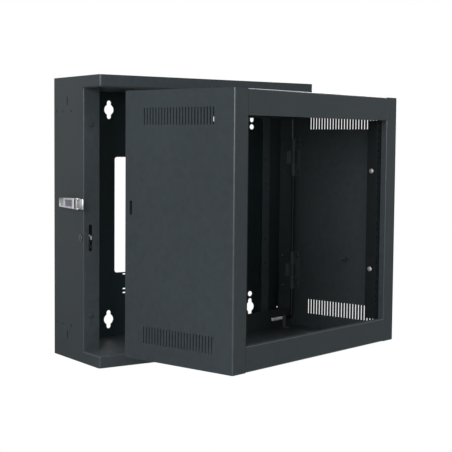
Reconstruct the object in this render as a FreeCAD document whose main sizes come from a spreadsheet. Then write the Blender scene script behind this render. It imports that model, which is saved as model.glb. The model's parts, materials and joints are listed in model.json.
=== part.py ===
import FreeCAD, Part
import os
import re
import Sketcher

# A pivoting wall rack: a back box that is bolted to the wall, and a centre section that swings
# out on a hinge rod and carries two 19-inch rails. Millimetres, +Z up, the wall is the plane Y = 0
# and the front faces -Y. The centre section is drawn shut and then turned to its rest angle.

doc = FreeCAD.newDocument("wall_mount_rack")
dims = doc.addObject("Spreadsheet::Sheet", "Dims")

SIZES = (
    # Sheet metal
    ("sheet", 1.5),
    ("bend_inside", 1.5),
    ("running_gap", 0.05),
    ("overcut", 1.0),
    ("side_gap", 0.3),
    # Back box
    ("box_width", 569.0),
    ("box_height", 621.0),
    ("box_depth", 141.0),
    ("flange_width", 39.0),
    ("corner_relief", 3.0),
    ("overhang", 73.0),
    ("lip_height", 26.0),
    ("lip_corner", 6.0),
    ("rear_flange", 18.0),
    ("window_width", 262.0),
    ("window_height", 270.0),
    ("window_corner", 6.0),
    ("lacing_x", 98.0),
    ("lacing_length", 22.0),
    ("lacing_width", 3.0),
    ("lacing_first", 4.5),
    ("lacing_drop", 39.2),
    ("lacing_pitch", 9.3),
    ("stud_inner_x", 146.3),
    ("stud_inset", 24.4),
    ("keyhole_drop", 40.7),
    ("keyhole_circle", 24.5),
    ("keyhole_slot", 11.0),
    ("keyhole_length", 42.5),
    ("wall_bolt_drop", 32.8),
    ("wall_bolt_hole", 13.0),
    ("knockout", 22.2),
    ("knockout_groove", 1.2),
    ("knockout_depth", 0.8),
    ("knockout_inset", 48.5),
    ("knockout_ahead", 27.0),
    ("pin_hole", 4.5),
    ("pin_hole_drop", 48.5),
    ("pin_hole_rear", 12.0),
    ("pin_hole_middle", 45.0),
    ("pin_hole_front", 84.0),
    ("side_slot_drop", 26.5),
    ("side_slot_length", 20.0),
    ("side_slot_width", 4.0),
    ("bar_front", 48.0),
    ("bar_side", 28.0),
    ("bar_face", 21.0),
    ("bar_end_gap", 14.5),
    ("bar_hole", 6.0),
    ("bar_hole_inner_z", 70.0),
    ("bar_hole_outer_z", 130.0),
    ("bumper_inset", 18.5),
    ("bumper_drop", 66.5),
    ("bumper_radius", 5.5),
    ("bumper_bevel", 1.65),
    # Centre section
    ("centre_gap", 4.0),
    ("centre_depth", 290.5),
    ("cap_gap", 10.5),
    ("stile_width", 40.0),
    ("front_rail", 51.0),
    ("rear_rail", 46.0),
    ("rim_depth", 14.0),
    ("rear_return", 34.0),
    ("vent_count", 24),
    ("vent_pitch", 8.0),
    ("vent_width", 2.8),
    ("vent_height", 35.0),
    ("vent_drop", 52.5),
    ("swing_angle", 15.3),
    # Rack rails
    ("unit_height", 44.45),
    ("hole_first", 6.35),
    ("hole_step", 15.875),
    ("rail_reveal", 19.1),
    ("hole_inset", 7.15),
    ("rail_face", 36.0),
    ("rail_depth", 24.0),
    ("rail_sheet", 2.0),
    ("rail_hole", 4.8),
    ("bracket_z", 110.0),
    ("bracket_height", 30.0),
    ("bracket_screw", 4.8),
    ("dome_share", 0.75),
    ("screw_proud", 2.0),
    ("screw_head", 9.0),
    ("screw_head_height", 3.2),
    # Hinges
    ("hinge_inset", 8.0),
    ("hinge_reach", 11.5),
    ("hinge_z", 137.0),
    ("hinge_height", 90.0),
    ("knuckle_height", 30.0),
    ("web_side", 2.0),
    ("web_back", 5.2),
    ("leaf", 2.5),
    ("leaf_length", 20.0),
    ("fixed_leaf_width", 20.0),
    ("rod_radius", 4.0),
    ("rod_bend", 10.0),
    ("rod_handle", 79.0),
    ("rod_handle_rise", 24.0),
    ("clip_back", 35.5),
    ("clip_width", 10.0),
    ("clip_sheet", 1.2),
    ("clip_foot", 14.0),
    ("clip_above", 2.0),
    ("hinge_screw", 4.0),
    ("hinge_screw_head", 7.6),
    ("hinge_screw_head_height", 2.4),
    ("hinge_screw_z", 36.0),
    ("hinge_screw_y", 13.0),
    ("leaf_slot_y", 11.0),
    ("leaf_slot_length", 12.0),
    ("leaf_slot_width", 5.0),
    ("leaf_slot_z", 24.0),
    # Draw latch
    ("latch_z", 36.0),
    ("latch_set_back", 10.0),
    ("latch_pivot_out", 7.5),
    ("latch_hook_back", 9.0),
    ("latch_hook_in", 1.5),
    ("latch_sheet", 1.5),
    ("latch_base_length", 62.0),
    ("latch_base_half", 10.0),
    ("latch_ear", 5.5),
    ("latch_ear_round", 5.0),
    ("latch_pin", 1.5),
    ("latch_arm_gap", 0.3),
    ("pin_proud", 0.6),
    ("lever_plate_start", 13.5),
    ("lever_end", 83.0),
    ("lever_end_half", 8.8),
    ("lever_corner", 3.8),
    ("lever_out", 5.0),
    ("arm_half", 2.75),
    ("arm_ahead", 4.7),
    ("arm_in", 4.95),
    ("lever_window_length", 29.0),
    ("lever_window_height", 12.0),
    ("lever_window_end", 31.0),
    ("hook_sheet", 1.8),
    ("hook_knuckle", 3.2),
    ("hook_half", 8.0),
    ("hook_wide_half", 11.2),
    ("hook_wide_start", 8.5),
    ("hook_tip", 30.5),
    ("hook_open", 13.0),
    ("hook_tip_clear", 1.0),
    ("hook_slot_width", 8.0),
    ("hook_slot_height", 30.0),
    ("latch_rivet", 3.2),
    ("latch_rivet_head", 6.4),
    ("latch_rivet_head_height", 1.2),
    ("latch_rivet_y", 18.0),
    # Key lock
    ("lock_set_back", 11.0),
    ("lock_z", 38.0),
    ("lock_body", 13.0),
    ("lock_hole_gap", 0.1),
    ("lock_face", 16.0),
    ("lock_bevel", 1.0),
    ("lock_face_height", 2.0),
    ("lock_nut", 16.0),
    ("lock_nut_height", 4.0),
    ("plug", 9.0),
    ("plug_proud", 0.6),
    ("key_slot_width", 1.4),
    ("key_slot_length", 6.0),
    ("key_slot_depth", 3.0),
    ("cam_sheet", 3.0),
    ("cam_half", 6.0),
    ("cam_reach", 24.0),
    ("cam_finger_up", 4.0),
    ("cam_finger_down", 5.0),
    ("cam_finger_proud", 2.5),
    ("cam_nose", 6.0),
    ("cam_bevel", 3.0),
    ("cam_screw", 4.5),
    ("cam_screw_head", 9.0),
    ("cam_screw_height", 3.0),
    ("flange_slot_inset", 17.5),
    ("flange_slot_width", 8.4),
    ("flange_slot_height", 59.0),
    ("keeper_below", 26.0),
    ("keeper_gap", 1.0),
    # Earth stud
    ("stud_back", 131.5),
    ("stud_z", 98.0),
    ("stud_base", 12.0),
    ("stud_base_height", 1.5),
    ("stud_radius", 3.0),
    ("stud_bevel", 1.0),
    ("stud_length", 15.0),
    ("stud_nut", 11.5),
    ("stud_nut_height", 5.0),
)
for line, (name, number) in enumerate(SIZES, start=1):
    dims.set("A%d" % line, name)
    dims.set("B%d" % line, str(number))
    dims.setAlias("B%d" % line, name)
doc.recompute()

# Planes and lines that several pieces share, written in the sheet's names
HALF = "(box_width / 2)"
INNER = "(box_width / 2 - sheet)"
FLANGE_Y = "(-box_depth)"
LIP_Y = "(-box_depth - overhang)"
PLATE_Z = "(box_height / 2 - lip_height)"
REAR_Y = "(-box_depth - centre_gap)"
FRONT_Y = "(-box_depth - centre_gap - centre_depth)"
PANEL_Y = "(-box_depth - centre_gap - centre_depth / 2)"
OUTER_STUD_X = "(box_width / 2 - stud_inset)"
KEYHOLE_Z = f"({PLATE_Z} - keyhole_drop)"
TOP_Z = f"({PLATE_Z} - cap_gap)"
OPEN_X = "(box_width / 2 - stile_width)"
RIM_Z = f"({TOP_Z} - front_rail)"
REAR_Z = f"({TOP_Z} - rear_rail)"
RAIL_X = f"({OPEN_X} - rail_reveal)"
RAIL_Y = f"({FRONT_Y} + rim_depth)"
HOLE_X = f"({RAIL_X} + hole_inset)"
RACK_UNITS = f"floor(2 * {RIM_Z} / unit_height)"
HINGE_X = "(box_width / 2 - hinge_inset)"
HINGE_Y = "(-box_depth - hinge_reach)"
KNUCKLE = "(hinge_inset - sheet)"
HINGE_BORE = "(rod_radius + running_gap)"
PIVOT_X = f"(-{HALF} - latch_pivot_out)"
PIVOT_Y = f"({FLANGE_Y} + latch_set_back)"
HOOK_X = f"({PIVOT_X} + latch_hook_in)"
HOOK_Y = f"({PIVOT_Y} + latch_hook_back)"
HOOK_TIP_Y = f"({PIVOT_Y} - hook_tip)"
ARM_INNER = "(latch_base_half + latch_arm_gap)"
ARM_OUTER = "(latch_base_half + latch_arm_gap + latch_sheet)"
LOCK_Y = f"({FLANGE_Y} + lock_set_back)"
SLOT_X = f"(flange_slot_inset - {HALF})"
CAM_X = f"({SLOT_X} - cam_sheet / 2)"
HANDLE_Z = f"(rod_handle_rise - {TOP_Z})"
PLUG_RADIUS = "(plug / 2 - running_gap)"
BEND_OUTSIDE = "(bend_inside + sheet)"

ALIASES = {name for name, number in SIZES}
pieces = []


def linked(text):
    """The expression with each size written as a cell of the sheet."""
    return re.sub(r"[a-z][a-z_]*", lambda m: "Dims." + m[0] if m[0] in ALIASES else m[0], text)


def value(text):
    return float(dims.evalExpression(linked(text)))


def bind(item, prop, text):
    item.setExpression(prop, linked(text))


def placement(x="0", y="0", z="0", axis="0; 0; 1", angle="0", centre="0; 0; 0"):
    return (f"create(<<placement>>; create(<<vector>>; {x}; {y}; {z}); "
            f"create(<<rotation>>; create(<<vector>>; {axis}); {angle}); create(<<vector>>; {centre}))")


SWUNG = placement(angle="swing_angle", centre=f"{HINGE_X}; {HINGE_Y}; 0")


def new_body(label, swings=False, listed=True, at=None):
    """A piece of its own. A piece that swings is turned with the centre section."""
    body = doc.addObject("PartDesign::Body", label)
    body.Label = label
    parts_of_place = [SWUNG] * swings + [at] * (at is not None)
    if parts_of_place:
        bind(body, "Placement", " * ".join(parts_of_place))
    if listed:
        pieces.append(body)
    return body


def new_sketch(body, plane, offset="0"):
    sketch = body.newObject("Sketcher::SketchObject", body.Name + "_sketch")
    origin_plane = next(f for f in body.Origin.OriginFeatures if f.Role == plane)
    sketch.AttachmentSupport = (origin_plane, [""])
    sketch.MapMode = "FlatFace"
    if offset != "0":
        bind(sketch, "AttachmentOffset.Base.z", offset)
    return sketch


def hold_point(sketch, shape, point, x, y):
    """Ties one point of a sketch's shape to its place on the sheet."""
    for kind, axis, text in (("DistanceX", -2, x), ("DistanceY", -1, y)):
        if text == "0":
            sketch.addConstraint(Sketcher.Constraint("PointOnObject", shape, point, axis))
        else:
            tie = Sketcher.Constraint(kind, -1, 1, shape, point, value(text))
            bind(sketch, "Constraints[%d]" % sketch.addConstraint(tie), text)


def outline(sketch, corners):
    """A closed outline of straight lines through the corners."""
    first = sketch.GeometryCount
    spots = [FreeCAD.Vector(value(x), value(y), 0) for x, y in corners]
    for spot, following in zip(spots, spots[1:] + spots[:1]):
        sketch.addGeometry(Part.LineSegment(spot, following), False)
    for i, (x, y) in enumerate(corners):
        following = first + (i + 1) % len(corners)
        sketch.addConstraint(Sketcher.Constraint("Coincident", first + i, 2, following, 1))
        hold_point(sketch, first + i, 1, x, y)


def box(sketch, left, low, right, high):
    outline(sketch, ((left, low), (right, low), (right, high), (left, high)))


def circle(sketch, x, y, radius):
    middle = FreeCAD.Vector(value(x), value(y), 0)
    shape = sketch.addGeometry(Part.Circle(middle, FreeCAD.Vector(0, 0, 1), value(radius)), False)
    tie = sketch.addConstraint(Sketcher.Constraint("Radius", shape, value(radius)))
    bind(sketch, "Constraints[%d]" % tie, radius)
    hold_point(sketch, shape, 3, x, y)


def slot(sketch, x, y, length, width):
    """An upright slot with round ends."""
    radius = value(width) / 2
    low = FreeCAD.Vector(value(x), value(y) - value(length) / 2 + radius, 0)
    high = FreeCAD.Vector(value(x), value(y) + value(length) / 2 - radius, 0)
    aside = FreeCAD.Vector(radius, 0, 0)
    up = FreeCAD.Vector(0, radius, 0)
    first = sketch.GeometryCount
    sketch.addGeometry(Part.Arc(high + aside, high + up, high - aside), False)
    sketch.addGeometry(Part.LineSegment(high - aside, low - aside), False)
    sketch.addGeometry(Part.Arc(low - aside, low - up, low + aside), False)
    sketch.addGeometry(Part.LineSegment(low + aside, high + aside), False)
    for arc, line, arc_end, line_end in ((0, 1, 2, 1), (2, 1, 1, 2), (2, 3, 2, 1), (0, 3, 1, 2)):
        sketch.addConstraint(Sketcher.Constraint("Tangent", first + arc, arc_end, first + line, line_end))
    tie = sketch.addConstraint(Sketcher.Constraint("Radius", first, radius))
    bind(sketch, "Constraints[%d]" % tie, f"{width} / 2")
    hold_point(sketch, first, 3, x, f"{y} + {length} / 2 - {width} / 2")
    tie = sketch.addConstraint(Sketcher.Constraint("DistanceY", -1, 1, first + 2, 3, low.y))
    bind(sketch, "Constraints[%d]" % tie, f"{y} - {length} / 2 + {width} / 2")


def octagon(sketch, x, y, width, height):
    """A small hole, or a slot where it is taller than wide, with its corners cut off."""
    cut = f"({width} * (1 - sqrt(0.5)))"
    corners = []
    for i, j in ((1, 1), (-1, 1), (-1, -1), (1, -1)):
        side = (f"{x} + {i} * {width} / 2", f"{y} + {j} * ({height} / 2 - {cut})")
        end = (f"{x} + {i} * ({width} / 2 - {cut})", f"{y} + {j} * {height} / 2")
        corners += [side, end] if i == j else [end, side]
    outline(sketch, corners)


def pad(body, sketch, length, symmetric=False, back=False):
    feature = body.newObject("PartDesign::Pad", body.Name + "_pad")
    feature.Profile = sketch
    feature.SideType = "Symmetric" if symmetric else "One side"
    feature.Reversed = back
    bind(feature, "Length", length)
    doc.recompute()
    return feature


def pocket(body, sketch, depth=None, forward=False):
    """A cut against the sketch's normal, or right through both ways where no depth is given."""
    before = body.Shape.Volume
    feature = body.newObject("PartDesign::Pocket", body.Name + "_pocket")
    feature.Profile = sketch
    if depth is None:
        feature.Type = "ThroughAll"
        feature.SideType = "Symmetric"
    else:
        feature.Reversed = forward
        bind(feature, "Length", depth)
    doc.recompute()
    if body.Shape.Volume >= before - 1e-6:
        raise RuntimeError(f"{body.Label}: a pocket cut nothing")
    return feature


def row(body, feature, sketch, direction, length, count):
    """Repeats a feature along an axis of its sketch."""
    pattern = body.newObject("PartDesign::LinearPattern", body.Name + "_row")
    pattern.Originals = [feature]
    pattern.Direction = (sketch, [direction])
    bind(pattern, "Length", length)
    bind(pattern, "Occurrences", count)
    body.Tip = pattern
    doc.recompute()


def edges_along(body, axis, spots):
    """Names of the body's edges that run along an axis through the given spots."""
    across = [i for i in range(3) if i != axis]
    wanted = [tuple(value(text) for text in spot) for spot in spots]
    names = []
    for number, edge in enumerate(body.Tip.Shape.Edges, start=1):
        ends = [tuple(vertex.Point) for vertex in edge.Vertexes]
        for spot in wanted:
            if all(abs(end[i] - at) < 0.01 for end in ends for i, at in zip(across, spot)):
                names.append("Edge%d" % number)
    return names


def fillet(body, radius, names):
    base = body.Tip
    feature = body.newObject("PartDesign::Fillet", body.Name + "_fillet")
    feature.Base = (base, names)
    bind(feature, "Radius", radius)
    doc.recompute()


def turned(label, profile, at, swings=False, listed=True):
    """A piece turned about its own Z axis, from a half profile of radius and height."""
    body = new_body(label, swings, listed, at)
    sketch = new_sketch(body, "XZ_Plane")
    outline(sketch, profile)
    spin = body.newObject("PartDesign::Revolution", label + "_turn")
    spin.Profile = sketch
    spin.ReferenceAxis = (sketch, ["V_Axis"])
    spin.Angle = 360
    doc.recompute()
    return body


def group(label, members):
    """Like pieces that share one node, as separate solids."""
    joined = doc.addObject("Part::Compound", label)
    joined.Label = label
    joined.Links = members
    pieces.append(joined)


def pan_head(name, head, head_height, shank, shank_length, at, swings=False):
    """A screw or rivet: its stepped head stands above its origin and the shank runs below it."""
    body = new_body(name, swings, False, at)
    for across, low, tall in ((shank, f"-{shank_length}", shank_length), (head, "0", f"{head_height} / 2"),
                              (f"({head} * dome_share)", f"{head_height} / 2", f"{head_height} / 2")):
        sketch = new_sketch(body, "XY_Plane", low)
        outline(sketch, [(f"{across} / 2 * cos({turn})", f"{across} / 2 * sin({turn})")
                         for turn in range(15, 375, 30)])
        pad(body, sketch, tall)
    return body


# Ways to turn a screw so that its head looks out along an axis
TO_FRONT = {"axis": "1; 0; 0", "angle": "90"}
TO_LEFT = {"axis": "0; 1; 0", "angle": "-90"}
TO_RIGHT = {"axis": "0; 1; 0", "angle": "90"}


# Rear panel: a plate with side flanges turned forward, pierced for the wall screws and the cables
rear_panel = new_body("rear_panel")
sketch = new_sketch(rear_panel, "XY_Plane")
outline(sketch, ((f"-{INNER}", "0"), (INNER, "0"), (INNER, "-rear_flange"),
                 (f"{INNER} - sheet", "-rear_flange"), (f"{INNER} - sheet", "-sheet"),
                 (f"-{INNER} + sheet", "-sheet"), (f"-{INNER} + sheet", "-rear_flange"),
                 (f"-{INNER}", "-rear_flange")))
pad(rear_panel, sketch, f"2 * {PLATE_Z}", symmetric=True)
sketch = new_sketch(rear_panel, "XZ_Plane")
box(sketch, "-window_width / 2", "-window_height / 2", "window_width / 2", "window_height / 2")
pocket(rear_panel, sketch)
fillet(rear_panel, "window_corner", edges_along(
    rear_panel, 1, [(f"{i} * window_width / 2", f"{j} * window_height / 2")
                    for i in (-1, 1) for j in (-1, 1)]))
sketch = new_sketch(rear_panel, "XZ_Plane")
for i in (-1, 1):
    for j in (-1, 1):
        for x in ("stud_inner_x", OUTER_STUD_X):
            circle(sketch, f"{i} * {x}", f"{j} * {KEYHOLE_Z}", "keyhole_circle / 2")
        circle(sketch, f"{i} * {OUTER_STUD_X}", f"{j} * ({KEYHOLE_Z} - wall_bolt_drop)", "wall_bolt_hole / 2")
    for drop in ("lacing_first", "lacing_drop", "(lacing_drop + lacing_pitch)"):
        z = f"(-window_height / 2 - {drop})"
        box(sketch, f"{i} * lacing_x - lacing_length / 2", f"{z} - lacing_width / 2",
            f"{i} * lacing_x + lacing_length / 2", f"{z} + lacing_width / 2")
pocket(rear_panel, sketch)
sketch = new_sketch(rear_panel, "XZ_Plane")
for i in (-1, 1):
    for j in (-1, 1):
        for x in ("stud_inner_x", OUTER_STUD_X):
            slot(sketch, f"{i} * {x}", f"{j} * {KEYHOLE_Z}", "keyhole_length", "keyhole_slot")
pocket(rear_panel, sketch)

# Side walls of the back box: the front edge is folded in as a flange, which stops short of the
# overhanging top and bottom
for side, i in (("left", -1), ("right", 1)):
    wall = new_body(f"backbox_side_{side}")
    sketch = new_sketch(wall, "XY_Plane")
    outline(sketch, ((f"{i} * {HALF}", "0"), (f"{i} * {HALF}", FLANGE_Y),
                     (f"{i} * ({HALF} - flange_width)", FLANGE_Y),
                     (f"{i} * ({HALF} - flange_width)", f"{FLANGE_Y} + sheet"),
                     (f"{i} * {INNER}", f"{FLANGE_Y} + sheet"), (f"{i} * {INNER}", "0")))
    pad(wall, sketch, "box_height", symmetric=True)
    fillet(wall, BEND_OUTSIDE, edges_along(wall, 2, [(f"{i} * {HALF}", FLANGE_Y)]))
    fillet(wall, "bend_inside", edges_along(wall, 2, [(f"{i} * {INNER}", f"{FLANGE_Y} + sheet")]))
    sketch = new_sketch(wall, "XZ_Plane", "box_depth")
    for j in (-1, 1):
        box(sketch, f"{i} * ({HALF} - flange_width - overcut)", f"{j} * {PLATE_Z}",
            f"{i} * ({HALF} + overcut)", f"{j} * (box_height / 2 + overcut)")
    pocket(wall, sketch, "corner_relief")
    sketch = new_sketch(wall, "YZ_Plane")
    for j in (-1, 1):
        for y in ("pin_hole_rear", "pin_hole_middle", "pin_hole_front"):
            octagon(sketch, f"-{y}", f"{j} * ({PLATE_Z} - pin_hole_drop)", "pin_hole", "pin_hole")
        octagon(sketch, "-(pin_hole_middle + pin_hole_front) / 2", f"{j} * ({PLATE_Z} - side_slot_drop)",
                "side_slot_width", "side_slot_length")
    if side == "left":
        circle(sketch, LOCK_Y, "-lock_z", "lock_body / 2 + lock_hole_gap")
        for y in (f"{PIVOT_Y} + latch_rivet_y", f"{PIVOT_Y} + latch_base_length - latch_rivet_y"):
            circle(sketch, y, "latch_z", "latch_rivet / 2 + running_gap")
    pocket(wall, sketch)
    sketch = new_sketch(wall, "XZ_Plane")
    if side == "left":
        slot(sketch, SLOT_X, "-lock_z", "flange_slot_height", "flange_slot_width")
    else:
        for hinge in (-1, 1):
            for j in (-1, 1):
                circle(sketch, f"{HALF} - flange_width + fixed_leaf_width / 2",
                       f"{hinge} * hinge_z + {j} * hinge_screw_z", "hinge_screw / 2 + running_gap")
    pocket(wall, sketch)

# Top and bottom of the back box: pans with their rims turned away from the box, wider in front of
# the side walls, where they overhang the centre section
for level, j in (("top", 1), ("bottom", -1)):
    cap = new_body(f"backbox_{level}")
    step_y = f"({FLANGE_Y} + corner_relief)"
    for inset, depth in (("0", "lip_height"), ("sheet", "lip_height - sheet")):
        base = f"{j} * {PLATE_Z}" if inset == "0" else f"{j} * box_height / 2"
        sketch = new_sketch(cap, "XY_Plane", base)
        wide, narrow = f"({HALF} - {inset})", f"({INNER} - {inset})"
        outline(sketch, ((f"-{wide}", f"{LIP_Y} + {inset}"), (wide, f"{LIP_Y} + {inset}"),
                         (wide, f"{step_y} - {inset}"), (narrow, f"{step_y} - {inset}"),
                         (narrow, f"-{inset}"), (f"-{narrow}", f"-{inset}"),
                         (f"-{narrow}", f"{step_y} - {inset}"), (f"-{wide}", f"{step_y} - {inset}")))
        if inset == "0":
            pad(cap, sketch, depth, back=level == "bottom")
        else:
            pocket(cap, sketch, depth, forward=level == "bottom")
    for inset in ("sheet", "0"):
        fillet(cap, f"lip_corner - {inset}", edges_along(
            cap, 2, [(f"{i} * ({HALF} - {inset})", f"{LIP_Y} + {inset}") for i in (-1, 1)]))
    edge_z = f"{j} * {PLATE_Z}"
    fillet(cap, BEND_OUTSIDE, edges_along(cap, 0, [(LIP_Y, edge_z)]))
    sketch = new_sketch(cap, "XY_Plane", edge_z)
    for i in (-1, 1):
        for radius in ("knockout / 2", "knockout / 2 - knockout_groove"):
            circle(sketch, f"{i} * ({HALF} - knockout_inset)", f"{FLANGE_Y} - knockout_ahead", radius)
    pocket(cap, sketch, "knockout_depth", forward=level == "top")

# Lacing bars: angles on the side walls with holes for cable ties
for side, i in (("left", -1), ("right", 1)):
    bar = new_body(f"lacing_bar_{side}")
    sketch = new_sketch(bar, "XY_Plane")
    outline(sketch, ((f"{i} * {INNER}", "-bar_front"), (f"{i} * {INNER}", "-bar_front + bar_side"),
                     (f"{i} * ({INNER} - sheet)", "-bar_front + bar_side"),
                     (f"{i} * ({INNER} - sheet)", "-bar_front + sheet"),
                     (f"{i} * ({INNER} - bar_face)", "-bar_front + sheet"),
                     (f"{i} * ({INNER} - bar_face)", "-bar_front")))
    pad(bar, sketch, f"2 * ({PLATE_Z} - bar_end_gap)", symmetric=True)
    sketch = new_sketch(bar, "XZ_Plane")
    for j in (-1, 1):
        for z in ("bar_hole_inner_z", "bar_hole_outer_z"):
            octagon(sketch, f"{i} * ({INNER} - bar_face / 2)", f"{j} * {z}", "bar_hole", "bar_hole")
    pocket(bar, sketch)

# Rubber bumpers on the left flange, which the shut centre section rests against
bumper_height = "(centre_gap - side_gap)"
bumper_profile = (("0", "0"), ("bumper_radius", "0"), ("bumper_radius", f"{bumper_height} - bumper_bevel"),
                  ("bumper_radius - bumper_bevel", bumper_height), ("0", bumper_height))
group("bumpers", [
    turned(f"bumper_{level}", bumper_profile,
           placement(f"bumper_inset - {HALF}", FLANGE_Y, f"{j} * ({TOP_Z} - bumper_drop)", **TO_FRONT),
           listed=False)
    for level, j in (("upper", 1), ("lower", -1))])

# Hinges: each has a fixed leaf on the right flange and a moving leaf inside the right panel
third_gap = "(knuckle_height / 2 + side_gap)"
fixed_screws = []
moving_screws = []
for level, j in (("upper", 1), ("lower", -1)):
    middle = f"({j} * hinge_z)"
    foot = f"({middle} - hinge_height / 2)"
    fixed = new_body(f"hinge_leaf_fixed_{level}")
    plate_left = f"({HALF} - flange_width)"
    plate_right = f"({plate_left} + fixed_leaf_width)"
    sketch = new_sketch(fixed, "XY_Plane", foot)
    box(sketch, plate_left, f"{FLANGE_Y} - leaf", plate_right, FLANGE_Y)
    pad(fixed, sketch, "hinge_height")
    sketch = new_sketch(fixed, "XY_Plane", f"{middle} - knuckle_height / 2")
    circle(sketch, HINGE_X, HINGE_Y, f"{KNUCKLE} - side_gap")
    pad(fixed, sketch, "knuckle_height")
    sketch = new_sketch(fixed, "XY_Plane", f"{middle} - knuckle_height / 2")
    outline(sketch, ((plate_right, FLANGE_Y),
                     (f"{HINGE_X} - web_side", f"{HINGE_Y} + web_back"),
                     (f"{HINGE_X} - web_back", f"{HINGE_Y} + web_side"),
                     (f"{plate_right} - leaf", f"{FLANGE_Y} - leaf"), (f"{plate_right} - leaf", FLANGE_Y)))
    pad(fixed, sketch, "knuckle_height")
    sketch = new_sketch(fixed, "XY_Plane")
    circle(sketch, HINGE_X, HINGE_Y, HINGE_BORE)
    pocket(fixed, sketch)
    sketch = new_sketch(fixed, "XZ_Plane")
    for k in (-1, 1):
        circle(sketch, f"{plate_left} + fixed_leaf_width / 2", f"{middle} + {k} * hinge_screw_z",
               "hinge_screw / 2 + running_gap")
        fixed_screws.append(pan_head(
            f"hinge_fixed_screw_{len(fixed_screws)}",
            "hinge_screw_head", "hinge_screw_head_height", "hinge_screw",
            "(leaf + sheet)", placement(f"{plate_left} + fixed_leaf_width / 2", f"{FLANGE_Y} - leaf",
                                        f"{middle} + {k} * hinge_screw_z", **TO_FRONT)))
    pocket(fixed, sketch)

    moving = new_body(f"hinge_leaf_moving_{level}", swings=True)
    sketch = new_sketch(moving, "XY_Plane", foot)
    box(sketch, f"{INNER} - leaf", f"{HINGE_Y} - leaf_length", INNER, HINGE_Y)
    pad(moving, sketch, "hinge_height")
    sketch = new_sketch(moving, "XY_Plane", foot)
    circle(sketch, HINGE_X, HINGE_Y, KNUCKLE)
    pad(moving, sketch, "hinge_height")
    sketch = new_sketch(moving, "XY_Plane")
    circle(sketch, HINGE_X, HINGE_Y, HINGE_BORE)
    pocket(moving, sketch)
    sketch = new_sketch(moving, "XY_Plane", f"{middle} + {third_gap}")
    box(sketch, f"{HINGE_X} - {KNUCKLE} - overcut", f"{HINGE_Y} - {KNUCKLE} - overcut",
        f"{INNER} + overcut", f"{HINGE_Y} + {KNUCKLE} + overcut")
    pocket(moving, sketch, f"2 * {third_gap}")
    sketch = new_sketch(moving, "YZ_Plane")
    slot_y, slot_z = f"({HINGE_Y} - leaf_slot_y)", f"({middle} + {j} * leaf_slot_z)"
    box(sketch, f"{slot_y} - leaf_slot_length / 2", f"{slot_z} - leaf_slot_width / 2",
        f"{slot_y} + leaf_slot_length / 2", f"{slot_z} + leaf_slot_width / 2")
    screw_y = f"({HINGE_Y} - hinge_screw_y)"
    for k in (-1, 1):
        circle(sketch, screw_y, f"{middle} + {k} * hinge_screw_z", "hinge_screw / 2 + running_gap")
        moving_screws.append(pan_head(
            f"hinge_moving_screw_{len(moving_screws)}",
            "hinge_screw_head", "hinge_screw_head_height", "hinge_screw", "(leaf + sheet)",
            placement(f"{INNER} - leaf", screw_y, f"{middle} + {k} * hinge_screw_z", **TO_LEFT),
            swings=True))
    pocket(moving, sketch)
group("hinge_fixed_screws", fixed_screws)
group("hinge_moving_screws", moving_screws)

# Hinge rod: one long pin through all the knuckles, bent into a handle above the centre's floor
rod = new_body("hinge_rod", swings=True)
path = new_sketch(rod, "XZ_Plane", f"-{HINGE_Y}")
top = "(hinge_z + hinge_height / 2)"
bend_x, bend_z = f"({HINGE_X} - rod_bend)", f"({HANDLE_Z} + rod_bend)"
corner = FreeCAD.Vector(value(bend_x), value(bend_z), 0)
out, down = FreeCAD.Vector(value("rod_bend"), 0, 0), FreeCAD.Vector(0, -value("rod_bend"), 0)
path.addGeometry(Part.LineSegment(FreeCAD.Vector(value(HINGE_X), value(top), 0), corner + out), False)
path.addGeometry(Part.Arc(corner + out, corner + (out + down) * 0.5 ** 0.5, corner + down), False)
handle_end = FreeCAD.Vector(value(f"{HINGE_X} - rod_handle"), value(HANDLE_Z), 0)
path.addGeometry(Part.LineSegment(corner + down, handle_end), False)
hold_point(path, 0, 1, HINGE_X, top)
hold_point(path, 1, 3, bend_x, bend_z)
tie = path.addConstraint(Sketcher.Constraint("Radius", 1, value("rod_bend")))
bind(path, "Constraints[%d]" % tie, "rod_bend")
path.addConstraint(Sketcher.Constraint("Horizontal", 2))
path.addConstraint(Sketcher.Constraint("Tangent", 0, 2, 1, 2))
path.addConstraint(Sketcher.Constraint("Tangent", 1, 1, 2, 1))
tie = path.addConstraint(Sketcher.Constraint("DistanceX", -1, 1, 2, 2, handle_end.x))
bind(path, "Constraints[%d]" % tie, f"{HINGE_X} - rod_handle")
sketch = new_sketch(rod, "XY_Plane", top)
circle(sketch, HINGE_X, HINGE_Y, "rod_radius")
pipe = rod.newObject("PartDesign::AdditivePipe", "hinge_rod_pipe")
pipe.Profile = sketch
pipe.Spine = path
doc.recompute()

# Clip on the centre's floor that carries the rod's handle
clip = new_body("rod_clip", swings=True)
floor_z, handle_low = f"(sheet - {TOP_Z})", f"({HANDLE_Z} - rod_radius - side_gap)"
leg_y, leg_z = f"({HINGE_Y} - rod_radius - side_gap)", f"({HANDLE_Z} + rod_radius + clip_above)"
tongue_y = f"({HINGE_Y} + rod_radius)"
sketch = new_sketch(clip, "YZ_Plane", f"{HINGE_X} - clip_back")
outline(sketch, ((f"{leg_y} - clip_foot", floor_z), (leg_y, floor_z), (leg_y, f"{handle_low} - clip_sheet"),
                 (tongue_y, f"{handle_low} - clip_sheet"), (tongue_y, handle_low), (leg_y, handle_low),
                 (leg_y, leg_z), (f"{leg_y} - clip_sheet", leg_z),
                 (f"{leg_y} - clip_sheet", f"{floor_z} + clip_sheet"),
                 (f"{leg_y} - clip_foot", f"{floor_z} + clip_sheet")))
pad(clip, sketch, "clip_width", symmetric=True)

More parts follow.
